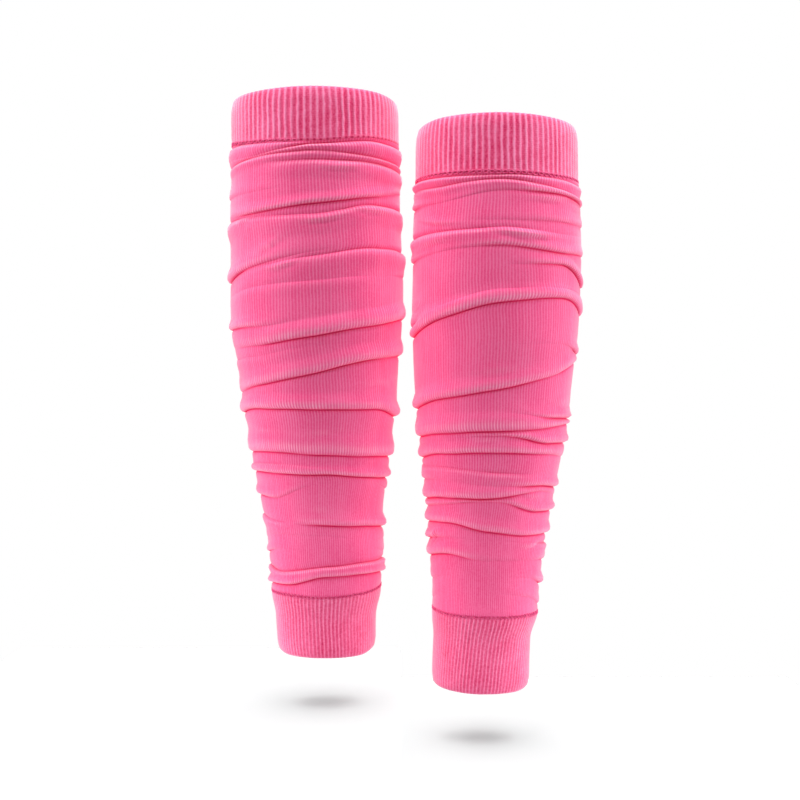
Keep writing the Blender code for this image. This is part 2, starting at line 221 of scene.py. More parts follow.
def put(name, data):
    """An object in the scene that holds the mesh, lamp or camera."""
    obj = bpy.data.objects.new(name, data)
    bpy.context.scene.collection.objects.link(obj)
    return obj


def new_material(name):
    """A material with an empty tree of nodes."""
    material = bpy.data.materials.new(name)
    material.use_nodes = True
    material.node_tree.nodes.clear()
    return material, material.node_tree


def new_tree(name, sizes):
    """An empty tree of geometry nodes that takes a mesh, the named sizes and a knit."""
    tree = bpy.data.node_groups.new(name, "GeometryNodeTree")
    for title, kind in {"Geometry": "Geometry", **sizes, "Knit": "Material"}.items():
        tree.interface.new_socket(title, in_out="INPUT", socket_type="NodeSocket" + kind)
    tree.interface.new_socket("Geometry", in_out="OUTPUT", socket_type="NodeSocketGeometry")
    return tree, add_node(tree, "NodeGroupInput")


def new_shell(name, points, along, attributes):
    """A closed shell of rings that run down the outside and back up the inside. `along` is each
    point's place along the knit in metres, with the first ring repeated at the end."""
    rings, columns = points.shape[:2]
    ring = np.arange(rings)[:, None]
    column = np.arange(columns)[None, :]
    after = (column + 1) % columns
    below = (ring + 1) % rings
    corners = [ring * columns + column, below * columns + column,
               below * columns + after, ring * columns + after]
    faces = np.stack(corners, axis=-1).reshape(-1, 4)
    mesh = bpy.data.meshes.new(name)
    mesh.from_pydata((points.reshape(-1, 3) * MM).tolist(), [], faces.tolist())
    turn = np.arange(columns + 1) / columns
    u = np.stack([turn[:-1], turn[:-1], turn[1:], turn[1:]], axis=-1)
    u = np.broadcast_to(u, (rings, columns, 4))
    wide = np.concatenate([along, along[:, :1]], axis=1)
    v = np.stack([wide[:-1, :-1], wide[1:, :-1], wide[1:, 1:], wide[:-1, 1:]], axis=-1)
    uv = mesh.uv_layers.new(name="knit")
    uv.data.foreach_set("uv", np.stack([u, v], axis=-1).astype(np.float32).ravel())
    for key, values in attributes.items():
        layer = mesh.attributes.new(key, "FLOAT", "POINT")
        layer.data.foreach_set("value", values.astype(np.float32).ravel())
    mesh.shade_smooth()
    return put(name, mesh)


def length_along(points):
    """How far each ring lies along the knit, in metres, closed by the first ring once more."""
    closed = np.concatenate([points, points[:1]])
    steps = np.linalg.norm(np.diff(closed, axis=0), axis=-1)
    return np.concatenate([np.zeros((1, points.shape[1])), np.cumsum(steps, axis=0)]) * MM


def knit_ground(tree, patches):
    """Each point's place round and along the knit, and two kinds of unevenness: broad patches where
    the yarn took up more dye, and the ends of single fibres."""
    uv = add_node(tree, "ShaderNodeUVMap", uv_map="knit")
    place = add_node(tree, "ShaderNodeSeparateXYZ", uv)
    thread = add_node(tree, "ShaderNodeTexCoord")
    uneven, fuzz = [
        add_node(tree, "ShaderNodeTexNoise",
                 {"Vector": thread.outputs["Object"], "Scale": scale, "Detail": 3.0,
                  "Roughness": 0.6})
        for scale in (patches, FIBRE_ENDS)]
    return place, uneven, fuzz


def dye(ramp, pinks):
    """Sets the pinks that the yarn takes, from its palest places to its deepest or back."""
    stops = ramp.color_ramp.elements
    while len(stops) < len(pinks):
        stops.new(0.5)
    for stop, (place, pink) in zip(stops, pinks):
        stop.position = place
        stop.color = linear(pink)


def rib_material(name, deep, mid, pale):
    """Ribbed nylon with bare elastane behind it. The valleys between the ribs are painted a deeper,
    fuller pink as shade, and the tops of the ribs a pale, slightly grey pink as sheen."""
    material, tree = new_material(name)
    place, uneven, fuzz = knit_ground(tree, RIB_PATCHES)
    # the valley value paints shade into the valleys and a pale sheen onto the rib tops
    valley = add_node(tree, "ShaderNodeAttribute", attribute_name="valley")
    course = add_node(tree, "ShaderNodeMath", place.outputs[1], 2.0 * math.pi / (RIB_COURSE * MM),
                      operation="MULTIPLY")
    course_wave = add_node(tree, "ShaderNodeMath", course, operation="SINE")
    tone = add_node(tree, "ShaderNodeMath", uneven, 0.5, -0.25, operation="MULTIPLY_ADD")
    ridges = add_node(tree, "ShaderNodeMath", valley.outputs["Fac"], tone, operation="ADD")
    threads = add_node(tree, "ShaderNodeMath", fuzz, 0.7, -0.35, operation="MULTIPLY_ADD")
    shade = add_node(tree, "ShaderNodeMath", ridges, threads, operation="ADD")
    ramp = add_node(tree, "ShaderNodeValToRGB", shade)
    dye(ramp, ((0.0, pale), (0.38, mid), (0.8, deep)))
    lift = add_node(tree, "ShaderNodeMath", course_wave, 0.25, fuzz, operation="MULTIPLY_ADD")
    bump = add_node(tree, "ShaderNodeBump",
                    {"Height": lift, "Strength": 0.5, "Distance": 0.18 * MM})
    shader = add_node(tree, "ShaderNodeBsdfPrincipled",
                      {"Base Color": ramp, "Normal": bump, "Roughness": 0.92, "IOR": 1.45,
                       "Specular IOR Level": 0.25, "Sheen Weight": 0.9, "Sheen Roughness": 0.42,
                       "Sheen Tint": linear("#FFEAF2")})
    add_node(tree, "ShaderNodeOutputMaterial", shader)
    return material


RIB_KNIT = rib_material("ribbed_nylon_knit", "#CB1B57", "#E85F8D", "#F28AB2")


def rib_tree():
    """Raises ribs in a band of knit: a ridge on every second stitch, a lower one between, and deep
    valleys beside them, sunk along the normal where the band's own `ribbed` value says so. It keeps
    a `valley` value of painted shade, deep in the valleys and pale as sheen on the ridges, and the
    `eye` value paints more shade into each valley at the eyelet course, where the knit is open."""
    tree, given = new_tree("rib_knit", {
        "Rib depth": "Float", "Low rib share": "Float", "Rib sharpness": "Float"})
    stitch = add_node(tree, "GeometryNodeInputNamedAttribute", "stitch", data_type="FLOAT")
    ribbed = add_node(tree, "GeometryNodeInputNamedAttribute", "ribbed", data_type="FLOAT")
    eye = add_node(tree, "GeometryNodeInputNamedAttribute", "eye", data_type="FLOAT")
    phase = add_node(tree, "ShaderNodeMath", stitch, math.pi, operation="MULTIPLY")
    wave = add_node(tree, "ShaderNodeMath", phase, operation="COSINE")
    high = add_node(tree, "ShaderNodeMath", wave, 0.5, 0.5, operation="MULTIPLY_ADD")
    low = add_node(tree, "ShaderNodeMath", wave, -0.5, 0.5, operation="MULTIPLY_ADD")
    high_rib = add_node(tree, "ShaderNodeMath", high, given.outputs["Rib sharpness"],
                        operation="POWER")
    low_rib = add_node(tree, "ShaderNodeMath", low, 3.0, operation="POWER")
    ridge = add_node(tree, "ShaderNodeMath", low_rib, given.outputs["Low rib share"], high_rib,
                     operation="MULTIPLY_ADD")
    groove = add_node(tree, "ShaderNodeMath", 1.0, ridge, operation="SUBTRACT", use_clamp=True)
    valley = add_node(tree, "ShaderNodeMath", groove, ribbed, operation="MULTIPLY")
    # painted shade in each valley at the eyelet course, where the knit is open
    eyelet_shade = add_node(tree, "ShaderNodeMath", low_rib, eye, operation="MULTIPLY")
    plain = add_node(tree, "ShaderNodeMath", ribbed, -0.4, 0.4, operation="MULTIPLY_ADD")
    painted_shade = add_node(tree, "ShaderNodeMath", valley, eyelet_shade, operation="MAXIMUM")
    tone = add_node(tree, "ShaderNodeMath", painted_shade, plain, operation="ADD")
    sunk = add_node(tree, "ShaderNodeMath", valley, given.outputs["Rib depth"],
                    operation="MULTIPLY")
    inwards = add_node(tree, "ShaderNodeMath", sunk, -1.0, operation="MULTIPLY")
    normal = add_node(tree, "GeometryNodeInputNormal")
    offset = add_node(tree, "ShaderNodeVectorMath", {0: normal, 3: inwards}, operation="SCALE")
    kept = add_node(tree, "GeometryNodeStoreNamedAttribute",
                    {"Geometry": given.outputs["Geometry"], "Name": "valley", "Value": tone},
                    data_type="FLOAT", domain="POINT")
    moved = add_node(tree, "GeometryNodeSetPosition", {"Geometry": kept, "Offset": offset})
    whole = add_node(tree, "GeometryNodeRealizeInstances", moved)
    clad = add_node(tree, "GeometryNodeSetMaterial",
                    {"Geometry": whole, "Material": given.outputs["Knit"]})
    add_node(tree, "NodeGroupOutput", clad)
    return tree


def grown(obj, tree, values):
    """Runs a tree of nodes on an object and keeps the result as its plain mesh."""
    modifier = obj.modifiers.new("nodes", "NODES")
    modifier.node_group = tree
    for item in tree.interface.items_tree:
        if item.in_out == "INPUT" and item.name in values:
            modifier[item.identifier] = values[item.name]
    graph = bpy.context.evaluated_depsgraph_get()
    mesh = bpy.data.meshes.new_from_object(
        obj.evaluated_get(graph), preserve_all_data_layers=True, depsgraph=graph)
    obj.modifiers.clear()
    old = obj.data
    obj.data = mesh
    bpy.data.meshes.remove(old)
    mesh.name = obj.name


RIB_TREE = rib_tree()


def add_cuff(node, form, seam, edge, lean, spread, phase):
    """A doubled rib band from its eyelet course to its open, turned edge. `lean` is how far the
    ribs lean to one side, in degrees round the sleeve for each millimetre of height, and `spread`
    is how far the stretch opens the valleys between them."""
    column = np.arange(RIB_COLUMNS)
    angle = 360.0 * column / RIB_COLUMNS - 180.0
    joined = around(seam, angle)
    free = around(edge, angle)
    down = np.sign(free[0] - joined[0])
    reach = np.abs(free - joined)
    even = np.zeros(RIB_COLUMNS)

    rows = []    # each row's height, how far it lies outside the leg, its ribs and its eyelets
    for k in range(CUFF_ROWS):
        share = k / (CUFF_ROWS - 1)
        far = SEAM_GAP + (reach - HEM_RADIUS - SEAM_GAP) * share ** ROW_CROWDING
        tuck = quarter(far / SEAM_ROUND)
        drawn_in = EDGE_DRAW * np.clip(1.0 - (reach - far) / EDGE_ZONE, 0.0, 1.0) ** 2
        near_end = 1.0 - (1.0 - HEM_RIBS) * smooth((far - reach + 3.0) / 1.7)
        rows.append((joined + down * far, -SEAM_TUCK * (1.0 - tuck) - drawn_in,
                     smooth((far - PLAIN_COURSE) / RIB_BEGIN) * near_end,
                     np.exp(-((far / EYE_HEIGHT) ** 2))))
    for k in range(1, HEM_ROWS + 1):
        turn = math.pi * k / (HEM_ROWS + 1)
        rows.append((free + down * HEM_RADIUS * (math.sin(turn) - 1.0),
                     even - EDGE_DRAW - HEM_RADIUS * (1.0 - math.cos(turn)),
                     even + HEM_RIBS + (INSIDE_RIBS - HEM_RIBS) * k / HEM_ROWS, even))
    for k in range(CUFF_INSIDE_ROWS):
        share = k / (CUFF_INSIDE_ROWS - 1)
        far = (reach - HEM_RADIUS) * (1.0 - share) + SEAM_GAP * share
        rows.append((joined + down * far,
                     even - CUFF_WALL - 0.3 * share - EDGE_DRAW * (1.0 - share) ** 3,
                     INSIDE_RIBS * smooth(far / 4.0) * smooth((reach - far) / 4.0), even))
    height, out, ribbed, eyes = np.moveaxis(np.array(rows), 1, 0)

    turn = np.radians(angle)
    wavy = RIB_SWAY * np.sin(height / 4.7 + 7.0 * turn + phase) * ribbed
    wavy += STITCH_STRAY * np.sin(height / 2.1 + 31.0 * turn
                                  + 2.0 * np.sin(height / 5.3 + 17.0 * turn))
    turned = angle + lean * (height - 0.5 * (joined + free)) + wavy
    loose = CUFF_SLACK * slack(turned, height, phase) * smooth(np.abs(height - joined) / 6.0)
    points = on_leg(form, turned, height, out + loose)
    if down > 0.0:
        outside = CUFF_ROWS + HEM_ROWS
        order = np.r_[outside - 1:-1:-1, len(rows) - 1:outside - 1:-1]
        points, ribbed, eyes = points[order], ribbed[order], eyes[order]
    stitch = np.broadcast_to(NEEDLES * column / RIB_COLUMNS, ribbed.shape)
    chance = np.random.default_rng(int(10 * phase))
    rib = np.round(stitch / 2.0).astype(int) % (NEEDLES // 2)
    # the valleys and their painted shade flatten out at the two sides, which the side lamps light
    closed = SIDE_CLOSE * smooth((np.abs(np.sin(turn)) - SIDE_BEGIN) / 0.35)
    ribbed = ribbed * spread * (1.0 - closed) * chance.uniform(*RIB_CHANCE, NEEDLES // 2)[rib]
    cuff = new_shell(node + "_knit", points, length_along(points),
                     {"stitch": stitch, "ribbed": ribbed, "eye": eyes})
    grown(cuff, RIB_TREE, {"Rib depth": RIB_DEPTH * MM, "Low rib share": LOW_RIB,
                           "Rib sharpness": RIB_SHARPNESS, "Knit": RIB_KNIT})
    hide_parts(node)
    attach(cuff, "root")
    return cuff


left_knee_cuff = add_cuff("left_knee_cuff", LEFT_FORM, KNEE_SEAM["left"], KNEE_EDGE["left"],
                          0.0, 1.0, 0.4)
right_knee_cuff = add_cuff("right_knee_cuff", RIGHT_FORM, KNEE_SEAM["right"], KNEE_EDGE["right"],
                           0.0, 1.0, 2.3)


# Calf tubes. Fine plain knit in nylon, 168 needles round, longer than the leg it is pulled over, so
# it lies in stacked folds. Where the upper cloth hangs over the lower it makes a soft roll with a
# sharp crease under it, and where the lower cloth stands up it makes a thin ridge.

TUBE_WALL = 2.3
TUBE_COLUMNS = 280
ROWS_A_FOLD = 5.0       # rows of points from one crease to the next, and more for each millimetre
ROWS_A_MM = 0.46
LINING_ROWS = 60
LINING_FOLDS = 0.6      # share of the folds that shows on the inside
MEAN_RADIUS = 50.0      # of a sleeve, which turns a shift along the knit into an angle
TUBE_SLACK = 0.45       # how far the tube lies off the leg's even form
TUBE_COURSE = 1.5       # height of a course, a third coarser than the real ones so that it shows
TUBE_PATCHES = 45.0     # patches of dye to a metre, each 22 mm wide
NOSE = 3.6              # length over which a fold's rounded edge rises out of its crease
NOSE_SHARE = 0.55       # or this share of the roll, if that is less
FRONT_EASE = 0.6        # folds lie flatter across the front
SIDE_EASE = 0.8
UPPER_EDGE = 1.2        # how softly the edge turns in, where the upper cloth is on top
LOWER_EDGE = 1.7        # the same where the lower cloth is on top
OVERHANG = 0.35         # how far the edge hangs over its crease
CREASE_DEPTH = 0.35     # a crease lies this share of the fold's rise under the plain tube
CREASE_REACH = 1.5
GROOVE = 0.7            # half width of the groove that a crease keeps inside another fold's roll
SLIT = 0.45             # how deep the cloth closes in on itself right in a crease
SLIT_WIDTH = 0.45
SEAM_SHADE = 0.6         # painted shade of deep pink in the groove at each seam, and over what height
SEAM_SHADE_WIDTH = 0.5
CREASE_SHADE_WIDTH = 0.7        # half width of the painted shade in each crease, where two layers meet
FADE = 1.6              # rolls have sunk back into the tube at this many times their height
UPPER_BAND = 0.6        # share of a roll that stands full where the upper cloth is on top
LOWER_BAND = 0.55       # the same where the lower cloth is on top
STACKING = 2.5          # rolls that meet add up as this power
FOLD_SPACE = 1.0
ROLL_SPACE = 0.85       # a roll ends at this share of the way to the next crease
SHORTEST_ROLL = 1.5
WANDER = 4.0            # how far a crease strays up and down across the back
WANDER_RISE = 0.4       # share by which its rise changes there
WANDER_STEP = 137.5     # degrees from one fold's straying to the next one's
CREASE_STRAY = 0.35     # how far a crease strays everywhere, and the share by which its rise does
RISE_STRAY = 0.18
STITCH_SKEW = 1.1       # how far the wales shift to one side across a fold

ANKLE_SEAM = {
    "left": (-132.7, -133.6, -134.5, -132.6, -129.8, -132),
    "right": (-145, -146.7, -147.6, -147.8, -147.7, -146.5),
}

# A fold: the height of its crease and how far the cloth stands out beside it, at the six places
# round the sleeve. The upper cloth lies on top where the rise is positive.
Fold = namedtuple("Fold", "crease rise roll")
LEFT_FOLDS = [Fold(*row) for row in (
    ((159.8, 159.2, 157.7, 161.6, 162, 160), (-3, -1.6, -0.8, 0, 0, -2), 10.5),
    ((150.3, 150.6, 156.4, 160.5, 159.5, 156), (-0.4, -1, -2, -2.6, -2.4, -1.5), 8),
    ((146.4, 149, 152.2, 150, 147.6, 150), (-1.1, -1.8, -1.5, -2, -1.8, -2), 4.5),
    ((142, 144.8, 146.5, 146, 144, 143), (0, -0.3, -1.6, -2, -2.2, 0), 8),
    ((126, 127.4, 131.6, 134, 136, 126), (1, 0.3, 0, 0, 0.3, 1.5), 5),
    ((112.6, 113.3, 118.3, 124.2, 130, 118), (0, 1.6, 2.3, 1.6, 0.3, 0.5), 4.5),
    ((110.6, 111.3, 111.7, 119.1, 117.9, 108), (-2.6, -1.2, -1.1, -2.1, -2.6, -1), 9),
    ((70.5, 79, 87.9, 94.6, 98, 84), (3, 1.6, 0.4, 0, 0, 2), 7),
    ((68.3, 77.9, 84.8, 91.7, 91.1, 74), (0, -0.4, -1.2, -2, -2.6, -0.8), 9),
    ((60.3, 65.6, 69.6, 73.4, 75, 62), (0, -0.5, -0.7, -0.2, 0.8, 1.2), 6),
    ((39.4, 40.6, 45.6, 54.1, 60.3, 46), (2.3, 1.2, 0, 0, 0, 0.5), 5),
    ((27.5, 28.3, 34.2, 41.8, 46.9, 33), (0.4, 1.2, 3, 3, 2.6, 1.5), 8),
    ((20.1, 21.9, 27.8, 32.2, 34.8, 24), (-0.7, -0.8, -0.3, 0, 0, 0), 6),
    ((-1.4, 2.8, 10.8, 19.7, 22.8, 10), (1, 2, 3, 3.6, 3.2, 2), 8),
    ((-15.4, -11.9, -12.7, -12.6, -18.1, -16), (2.6, 2.6, 2.6, 2.6, 3, 2.5), 7),
    ((-40.5, -40.2, -41.8, -43.1, -44.2, -40), (2.6, 2, 2, 2, 3, 2), 10),
    ((-48.2, -47.3, -49.2, -51.8, -52.3, -48), (-1, -1, -0.6, -0.3, -0.5, 0), 4),
    ((-53.6, -54.1, -54.6, -56.8, -58.2, -55), (2.5, 2.2, 2.5, 2.5, 3, 2), 5),
    ((-69, -70, -60.5, -59.9, -66.3, -68), (2.6, 1.2, 0.3, 0.2, 1, 1.5), 5),
    ((-81.4, -85.6, -87.5, -89, -90.8, -84), (-1.6, -1, 2, 2.5, 3, 2), 6),
    ((-97.8, -93.8, -94.1, -97.8, -98.5, -97), (0.3, 0.4, 0.3, 0, 0.4, 1), 4),
    ((-107.9, -103.7, -103.8, -103.7, -107, -108), (2, 0.3, 0, 0, 0.3, 0.5), 4),
    ((-115.9, -118.4, -114.5, -112.4, -111.8, -117), (-2, -2, -2, -2, -2.5, -1), 4),
    ((-127.6, -127.4, -121.4, -120.4, -120.6, -126), (2.6, 2.6, 2, 2, 3, 2), 4),
)]
RIGHT_FOLDS = [Fold(*row) for row in (
    ((137, 137.2, 137.2, 136.2, 134, 136.5), (-2.6, -2, -1.5, -1.5, -1.5, -2), 4),
    ((131, 131.4, 134.3, 129.8, 125.3, 131), (-1, -1.6, -1.6, -1.6, -1, -1.5), 4),
    ((119.9, 120.5, 127.4, 125.6, 121.9, 122), (1.6, 0.3, 0.8, 2.3, 1.6, 1.5), 4),
    ((109.9, 109.5, 108.3, 107.9, 107.9, 110), (0, 0, 0.3, 1.1, 1.1, 0.5), 5),
    ((99.8, 102.1, 103.3, 100.8, 100.5, 100), (-2.2, -1.6, -1.3, -0.7, 0, -1.5), 6),
    ((84.4, 88.9, 91.9, 88.3, 88.4, 86), (1.6, 0.3, 1.4, 2.1, 1.1, 1.5), 5),
    ((70.4, 72.2, 79.8, 80.6, 67.8, 70), (0, 0, 0, 2.2, 2.6, 1.5), 5),
    ((41.5, 54.1, 64.6, 66, 60.3, 52), (1.6, -0.5, -0.8, -0.8, -0.8, 0), 6),
    ((34.8, 45.4, 55.4, 59.3, 48.9, 42), (2.6, 2.6, 2.6, 2.6, 2.6, 2.2), 8),
    ((18.8, 21.9, 28.5, 29.8, 23.2, 20), (0, 0, 0, 0.3, 2.4, 1), 5),
    ((-12.7, -6.1, 0, 9.4, 19.4, 4), (3, 2.6, 2.2, 1.6, 1.6, 2.2), 7),
    ((-18.8, -13.6, -14, -17.8, -18.8, -14), (0, 0, 0, 1.6, 2.6, 1), 4),
    ((-31, -28.4, -26.5, -24.6, -22.1, -26), (2.5, 2.1, 2.1, 1.6, 2, 2), 9),
    ((-34.4, -31.3, -29, -34.7, -34.8, -34), (0, 0, 1.2, 2.5, 3, 1), 5),
    ((-45.2, -41.3, -40.6, -41.9, -44.2, -43), (2.6, 2.1, 2.1, 1.5, 0.8, 1.8), 6),
    ((-49.6, -50, -53.1, -54.5, -53.6, -52), (-1, -1, -1.3, -0.3, 0, -0.8), 6),
    ((-59, -58.4, -61.5, -62.6, -64.3, -61), (1.6, 0.3, 0.5, 2.1, 2.6, 1), 5),
    ((-71.7, -70.2, -70, -65.7, -69.7, -70), (2.6, 2, 2.2, 1, 0.3, 1.8), 6),
    ((-77, -73.9, -72, -79.4, -79.7, -78), (1.2, 1, 1, 2.5, 3, 1), 4.5),
    ((-86.8, -86.6, -92, -95, -95.1, -90), (2.6, 2, 2.2, 2, 2.6, 2), 6),
    ((-98.5, -95.9, -97.4, -99.8, -101.2, -100), (2.6, 0.5, 0, -0.8, -2, 0.8), 4.5),
    ((-110, -107, -110.9, -110.9, -112.9, -110), (2.6, 2, 0.6, 0.5, 2, 1.6), 6),
    ((-125.3, -121.5, -120.8, -122.9, -129.3, -124), (1, 0, 0, 0.3, 3, 1), 6),
    ((-138, -132, -132, -135.3, -142.2, -136), (0.3, 0, 0, 0.6, 1, 0.5), 5),
)]

# A short wrinkle: where its middle is, how far it runs each way in degrees, how far it climbs over
# that reach, and how high its soft shoulder stands
Wrinkle = namedtuple("Wrinkle", "angle height reach climb rise")
LEFT_WRINKLES = [Wrinkle(*row) for row in (
    (8, 106.5, 17, 3, 0.7), (22, 139.5, 16, 1, 0.7), (52, 112.5, 28, -1, 0.7),
    (-54, 106.5, 14, 3, 0.6), (-30, 90, 12, 5, 0.7), (-20, 77, 13, 3, 0.7), (0, -30, 20, 2, 0.4),
    (-50, -28, 20, -2, 0.4), (60, 4, 25, 3, 0.5), (5, -80, 18, -2, 0.5), (-5, -140, 12, 0, 0.3),
    (120, 118, 22, 5, 0.8), (150, 96, 25, -4, 0.7), (-140, 100, 24, 4, 0.8),
    (-120, 60, 20, -5, 0.7), (160, 22, 26, 4, 0.6), (-160, -30, 22, -3, 0.6),
    (110, -30, 20, 4, 0.7), (130, -75, 20, 3, 0.6), (-150, -100, 24, 2, 0.6),
)]
RIGHT_WRINKLES = [Wrinkle(*row) for row in (
    (16, 96.8, 18, -1, 1.3), (36, 121, 20, 1, 0.9), (-8, -34, 12, 0, 0.5), (40, -71.5, 14, -2, 0.6),
    (62, -10, 18, 0, 0.6), (44, -103.5, 12, 1, 0.9), (-60, 92, 26, 4, 0.6), (-45, 106, 20, -2, 0.5),
    (-70, 54, 14, 4, 0.5), (-64, -97.5, 7, 3, 1.1), (0, 10, 18, 3, 0.4), (62, 117, 14, -2, 0.5),
    (130, 112, 22, 4, 0.8), (-130, 104, 24, -4, 0.7), (160, 60, 24, 5, 0.7), (-150, 20, 22, 4, 0.7),
    (125, -50, 22, -4, 0.7), (-140, -62, 20, 3, 0.6), (150, -112, 24, 3, 0.6),
)]


def folds_round(folds, angle, top):
    """Height and rise of every fold's crease at every angle, from the top down."""
    behind = smooth(-np.cos(np.radians(angle)))
    creases, rises = [], []
    above = top
    for number, fold in enumerate(folds):
        stray = np.sin(np.radians(2.0 * angle + WANDER_STEP * number)) * behind
        small = CREASE_STRAY * slack(2.0 * angle, 3.0 * number, 1.7 * number)
        crease = around(fold.crease, angle) + WANDER * stray + small
        crease = np.minimum(crease, above - FOLD_SPACE)
        rise = around(fold.rise, angle) * (1.0 + WANDER_RISE * stray)
        rise = rise * (1.0 + RISE_STRAY * slack(3.0 * angle, 5.0 * number, number))
        creases.append(crease)
        rises.append(rise)
        above = crease
    return np.array(creases), np.array(rises)


def rolls_round(folds, creases, rises):
    """Height of every fold's roll at every angle, cut short where the next fold begins."""
    rolls = []
    for number, fold in enumerate(folds):
        upper = max(number - 1, 0)
        lower = min(number + 1, len(folds) - 1)
        on_top = rises[number] > 0.0
        gap = np.where(on_top, creases[upper] - creases[number], creases[number] - creases[lower])
        met = np.where(on_top, np.abs(rises[upper]), np.abs(rises[lower]))
        gap = np.where(gap > 0.0, gap, fold.roll)
        crowded = smooth(met / 1.2)
        short = np.minimum(fold.roll, ROLL_SPACE * gap)
        rolls.append(fold.roll * (1.0 - crowded) + short * crowded)
    return np.maximum(np.array(rolls), SHORTEST_ROLL)


def fold_relief(angle, height, creases, rises, rolls, slit_depth):
    """How far the folds push the cloth out, how far they pull it down over their creases, how far
    they shift its wales to the side, how deep the painted shade is where two layers meet, and where
    a painted highlight lies on the upper shoulder of a roll."""
    stacked, sunk, drop, skew, deep, crest = np.zeros((6, *height.shape))
    open_share = np.ones_like(height)
    eased = FRONT_EASE + (SIDE_EASE - FRONT_EASE) * np.sin(np.radians(angle)) ** 2
    for number, (crease, rise, roll) in enumerate(zip(creases, rises, rolls)):
        size = np.abs(rise)
        side = np.where(rise >= 0.0, 1.0, -1.0)
        up = (height - crease) * side
        nose = np.minimum(NOSE, NOSE_SHARE * roll)
        edge = quarter(up / nose) ** np.where(side > 0.0, UPPER_EDGE, LOWER_EDGE)
        band = np.where(side > 0.0, UPPER_BAND, LOWER_BAND) * roll
        fall = (1.0 - np.clip((up - band) / (FADE * roll - band), 0.0, 1.0) ** 2) ** 2
        on_top = up >= 0.0
        push = np.where(on_top, size * eased * edge * fall, 0.0)
        stacked += push ** STACKING
        under = np.where(on_top, (1.0 - edge) * (up < nose), np.exp(-((up / CREASE_REACH) ** 2)))
        keep = smooth((size - 0.5) / 1.4)
        bold = smooth((size - 0.4) / 1.9)
        slit = slit_depth * bold * np.exp(-((up / SLIT_WIDTH) ** 2))
        # painted shade: a deeper pink line along each crease, bolder where the upper cloth lies on
        # top
        line = bold * np.where(side > 0.0, 1.0, 0.55)
        deep = np.maximum(deep, line * np.exp(-((up / CREASE_SHADE_WIDTH) ** 2)))
        # painted highlight on the upper shoulder of each roll, where the cloth faces up to the
        # light
        middle = np.where(side > 0.0, 0.4 * roll, 0.45 * nose + 0.4)
        spread = np.where(side > 0.0, 0.3 * roll, 0.8)
        light = smooth((size - 0.2) / 1.7) * np.exp(-(((up - middle) / spread) ** 2))
        crest = np.maximum(crest, np.where(on_top, light, 0.0))
        sunk = np.maximum(sunk, CREASE_DEPTH * size * under + slit)
        open_share *= 1.0 - 0.8 * keep * np.exp(-((up / GROOVE) ** 2))
        x = np.clip(up / nose, 0.0, None)
        hang = OVERHANG * np.clip(size / 2.2, 0.0, 1.2) * np.clip(roll / 4.0, 0.3, 1.0)
        drop += side * hang * x * np.exp(1.0 - x)
        aside = side * math.cos(math.radians(WANDER_STEP) * number)
        skew += STITCH_SKEW * keep * aside * np.tanh(up / 3.0) * np.exp(-((up / 12.0) ** 2))
    out = stacked ** (1.0 / STACKING) * open_share - sunk
    return out, drop, skew, deep, crest


def wrinkle_relief(wrinkles, angle, height):
    """Soft shallow creases that run out at both ends, each with a painted highlight on its
    shoulder.
    """
    out, crest = np.zeros((2, *height.shape))
    for w in wrinkles:
        share = ((angle - w.angle + 180.0) % 360.0 - 180.0) / w.reach
        away = height - (w.height + w.climb * share + 1.2 * share ** 2)
        fading = np.exp(-(share ** 2) * 1.4)
        shoulder = 1.2 * np.exp(-(((away - 2.6) / 2.4) ** 2))
        dip = 1.3 * np.exp(-((away / 0.9) ** 2))
        out += w.rise * fading * (shoulder - dip)
        # painted highlight along the wrinkle's shoulder
        light = w.rise * fading * np.exp(-(((away - 2.0) / 1.4) ** 2))
        crest = np.maximum(crest, np.clip(light, 0.0, 1.0))
    return out, crest


def fold_rows(top, creases, bottom):
    """Heights of the rows of points at every angle, closer together towards each crease."""
    bounds = np.concatenate([top[None], creases, bottom[None]])
    rows = []
    for above, below in zip(bounds, bounds[1:]):
        steps = int(round(ROWS_A_FOLD + ROWS_A_MM * np.mean(above - below)))
        for k in range(steps):
            share = 0.5 - 0.5 * math.cos(math.pi * k / steps)
            rows.append(above + (below - above) * share)
    rows.append(bottom)
    return np.array(rows)


